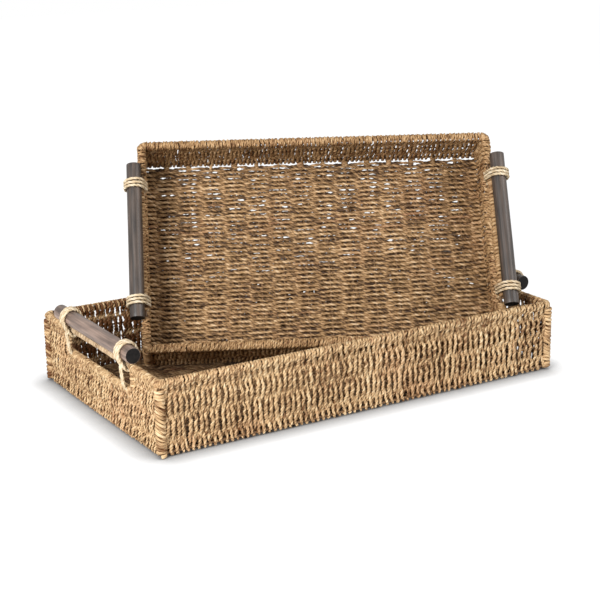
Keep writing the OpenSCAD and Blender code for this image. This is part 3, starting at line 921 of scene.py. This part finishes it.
# The lashings. One pale straw cord is wound three times round each end of a dowel and the grip bar
# under it and drawn tight. Its ends are drawn down over the hand-hole and tucked into the hole's edge.
lash_d = 0.0050
lash_pitch = 0.0054
lash_turns = 3
lash_gap = 0.0006
lash_lay = 0.014
lash_pale = np.array([0.12, 0.0])
loop_steps = 60
end_offsets = (-0.003, 0.002)
straw_cord = grass_cord("straw_cord", (146, 118, 84), (216, 194, 158), (244, 230, 206), (202, 170, 130))


def lash_loop(grip_r, dowel_r, dowel_at):
    """Once round the grip bar and the dowel, starting on the bar's side away from the dowel, as
    distances out and up from the bar's middle."""
    reach = math.hypot(*dowel_at)
    tilt = math.atan2(dowel_at[1], dowel_at[0])
    near = grip_r + lash_gap + lash_d / 2
    far = dowel_r + lash_gap + lash_d / 2
    tangent = math.acos((near - far) / reach)

    def arc(radius, start, end, steps):
        angle = np.linspace(start, end, steps)
        return radius * np.stack([np.cos(angle), np.sin(angle)], axis=-1)

    under_grip = arc(near, tilt + math.pi, tilt + 2 * math.pi - tangent, 12)
    over_dowel = dowel_at + arc(far, tilt - tangent, tilt + tangent, 24)
    back_to_grip = arc(near, tilt + tangent, tilt + math.pi, 12)
    return even_walk(np.concatenate([under_grip, over_dowel, back_to_grip]), loop_steps + 1)[:-1]


def wound_cord(tray, side, face, middle, chance):
    """The cord round a dowel and its grip bar, in the tray's axes."""
    rod_low, rod_high = tray.box(side + "_dowel")
    dowel_r = (rod_high[2] - rod_low[2]) / 2
    seat, reach = seat_of(tray, side, face)
    loop = lash_loop(bound_r, dowel_r, reach)
    wound = np.concatenate([np.tile(loop, (lash_turns, 1)), loop[:1]])
    slide = np.linspace(-lash_turns / 2, lash_turns / 2, len(wound)) * lash_pitch
    slide = slide + wander(chance, 1, slide, (0.0061, 0.0023), 0.0003)[0]
    path = np.stack([face * (seat[0] + wound[:, 0]), middle + slide, seat[1] + wound[:, 1]], axis=-1)
    tone = strand_tone(chance, 1, len(path), 0.1, 0.3) + lash_pale
    half = lash_d / 2
    return twist_cords(path[None], crossways, half, half, tone, chance, lay=lash_lay)


def drawn_ends(tray, face, middle, chance):
    """The cord's ends, from the grip bar down the outside to the hand-hole's lower edge."""
    edge_z = tray.hole_wire_z + hole_edge
    ends = []
    for offset in end_offsets:
        lean = np.sign(middle) * offset
        stops = [
            (0.0080, lean, tray.rim_z + 0.003),
            (0.0104, lean, tray.rim_z - 0.003),
            (0.0092, lean, (tray.rim_z + edge_z) / 2),
            (0.0074, lean, edge_z + 0.001),
            (0.0040, lean, edge_z - 0.006),
        ]
        walk = smooth_path(stops, 24)
        walk[:, 1] += wander(chance, 1, walk[:, 2], (0.021, 0.009), 0.0004)[0]
        ends.append(np.stack([face * (tray.wall_x + walk[:, 0]), middle + walk[:, 1], walk[:, 2]], axis=-1))
    tone = strand_tone(chance, len(ends), len(ends[0]), 0.1, 0.3) + lash_pale
    return twist_cords(np.array(ends), crossways, lash_d * 0.48, lash_d * 0.42, tone, chance, lay=lash_lay)


for seed, tray in enumerate(trays):
    chance = np.random.default_rng(131 + seed)
    for side, face in (("left", -1), ("right", 1)):
        for end in ("front", "back"):
            part = f"{side}_{end}_lashing"
            low, high = tray.box(part)
            middle = (low[1] + high[1]) / 2
            cords = [wound_cord(tray, side, face, middle, chance), drawn_ends(tray, face, middle, chance)]
            lashing = cord_mesh(f"{tray.name}_wound_{part}", cords, tray, straw_cord)
            wear(lashing, tray, part)


# The table that the trays stand on: a plain white sweep, which keeps their soft shadow. Its white is a
# glow, darkened close round the trays as painted shadow.
def seen_plainly(tree):
    """1 for the rays that show the white round the trays: the camera's own, and those off gloss or
    through glass."""
    ray = tree.nodes.new("ShaderNodeLightPath")
    seen = ray.outputs["Is Camera Ray"]
    for kind in ("Is Glossy Ray", "Is Transmission Ray"):
        either = tree.nodes.new("ShaderNodeMath")
        either.operation = "MAXIMUM"
        tree.links.new(seen, either.inputs[0])
        tree.links.new(ray.outputs[kind], either.inputs[1])
        seen = either.outputs[0]
    return seen


def white_sweep():
    material, tree, shader = new_material("white_sweep")
    shader.inputs["Base Color"].default_value = shade(238, 238, 238)
    shader.inputs["Roughness"].default_value = 0.9
    shader.inputs["Specular IOR Level"].default_value = 0.0
    shadow = add_node(tree, "ShaderNodeBsdfDiffuse", Color=(0.26, 0.26, 0.26, 1.0))
    # Painted shadow: the glow darkens where the trays stand close over the sweep.
    open_sky = add_node(tree, "ShaderNodeAmbientOcclusion", Distance=0.05)
    deepen = tree.nodes.new("ShaderNodeMath")
    deepen.operation = "POWER"
    deepen.inputs[1].default_value = 2.3
    glow = add_node(tree, "ShaderNodeEmission", Strength=0.95)
    both = tree.nodes.new("ShaderNodeAddShader")
    pick = tree.nodes.new("ShaderNodeMixShader")
    link = tree.links.new
    link(open_sky.outputs["AO"], deepen.inputs[0])
    link(deepen.outputs[0], glow.inputs["Color"])
    link(shadow.outputs["BSDF"], both.inputs[0])
    link(glow.outputs["Emission"], both.inputs[1])
    link(seen_plainly(tree), pick.inputs["Fac"])
    link(shader.outputs["BSDF"], pick.inputs[1])
    link(both.outputs["Shader"], pick.inputs[2])
    link(pick.outputs["Shader"], tree.nodes["Material Output"].inputs["Surface"])
    return material


sweep_half = 6.0
sweep_drop = 0.0003
sweep_mesh = bpy.data.meshes.new("sweep")
sweep_sides = ((-1, -1), (1, -1), (1, 1), (-1, 1))
sweep_corners = [(x * sweep_half, y * sweep_half, -sweep_drop) for x, y in sweep_sides]
sweep_mesh.from_pydata(sweep_corners, [], [(0, 1, 2, 3)])
sweep_mesh.materials.append(white_sweep())
sweep = bpy.data.objects.new("sweep", sweep_mesh)
bpy.context.collection.objects.link(sweep)


# The light: a white studio round the trays, one broad soft lamp above and in front on the left, and a
# weaker one on the right.
def studio_world():
    world = bpy.data.worlds.new("studio")
    world.use_nodes = True
    tree = world.node_tree
    soft = tree.nodes["Background"]
    soft.inputs["Color"].default_value = (1.0, 1.0, 1.0, 1.0)
    soft.inputs["Strength"].default_value = 0.22
    white = add_node(tree, "ShaderNodeBackground", Color=(1.0, 1.0, 1.0, 1.0), Strength=1.0)
    pick = tree.nodes.new("ShaderNodeMixShader")
    tree.links.new(seen_plainly(tree), pick.inputs["Fac"])
    tree.links.new(soft.outputs["Background"], pick.inputs[1])
    tree.links.new(white.outputs["Background"], pick.inputs[2])
    tree.links.new(pick.outputs["Shader"], tree.nodes["World Output"].inputs["Surface"])
    return world


lamp_aim = Vector((0.0, 0.0, 0.1))


def soft_lamp(name, spot, size, power):
    """A round lamp at a spot, turned to the trays, by its size across in metres and its power in watts."""
    lamp = bpy.data.lights.new(name, "AREA")
    lamp.shape = "DISK"
    lamp.size = size
    lamp.energy = power
    holder = bpy.data.objects.new(name, lamp)
    holder.location = spot
    holder.rotation_euler = (lamp_aim - Vector(spot)).to_track_quat("-Z", "Y").to_euler()
    bpy.context.collection.objects.link(holder)


bpy.context.scene.world = studio_world()
soft_lamp("key_lamp", spot=(-2.6, -1.4, 1.4), size=1.3, power=112.0)
soft_lamp("fill_lamp", spot=(1.6, -2.4, 1.8), size=1.6, power=46.0)
bpy.context.scene.view_settings.view_transform = "Standard"


# The camera, at the photograph's view: its place in metres, its turn from straight ahead along Y, its
# tilt below level and its roll, in degrees, and its focal length in pixels of the 600 pixel frame.
camera_spot = (-1.1693, -1.9441, 0.7824)
camera_yaw = math.radians(31.094)
camera_tilt = math.radians(16.197)
camera_roll = math.radians(-0.903)
focal_pixels = 1492.6
frame_pixels = 600
ahead = Vector(
    (
        math.sin(camera_yaw) * math.cos(camera_tilt),
        math.cos(camera_yaw) * math.cos(camera_tilt),
        -math.sin(camera_tilt),
    )
)
level = Vector((math.cos(camera_yaw), -math.sin(camera_yaw), 0.0))
upright = level.cross(ahead)
right = math.cos(camera_roll) * level + math.sin(camera_roll) * upright
top = -math.sin(camera_roll) * level + math.cos(camera_roll) * upright
camera = bpy.data.objects.new("camera", bpy.data.cameras.new("camera"))
camera.data.sensor_fit = "HORIZONTAL"
camera.data.sensor_width = 36.0
camera.data.lens = focal_pixels / frame_pixels * camera.data.sensor_width
camera.data.clip_end = 30.0
facing = Matrix((right, top, -ahead)).transposed().to_4x4()
camera.matrix_world = Matrix.Translation(camera_spot) @ facing
bpy.context.collection.objects.link(camera)
bpy.context.scene.camera = camera
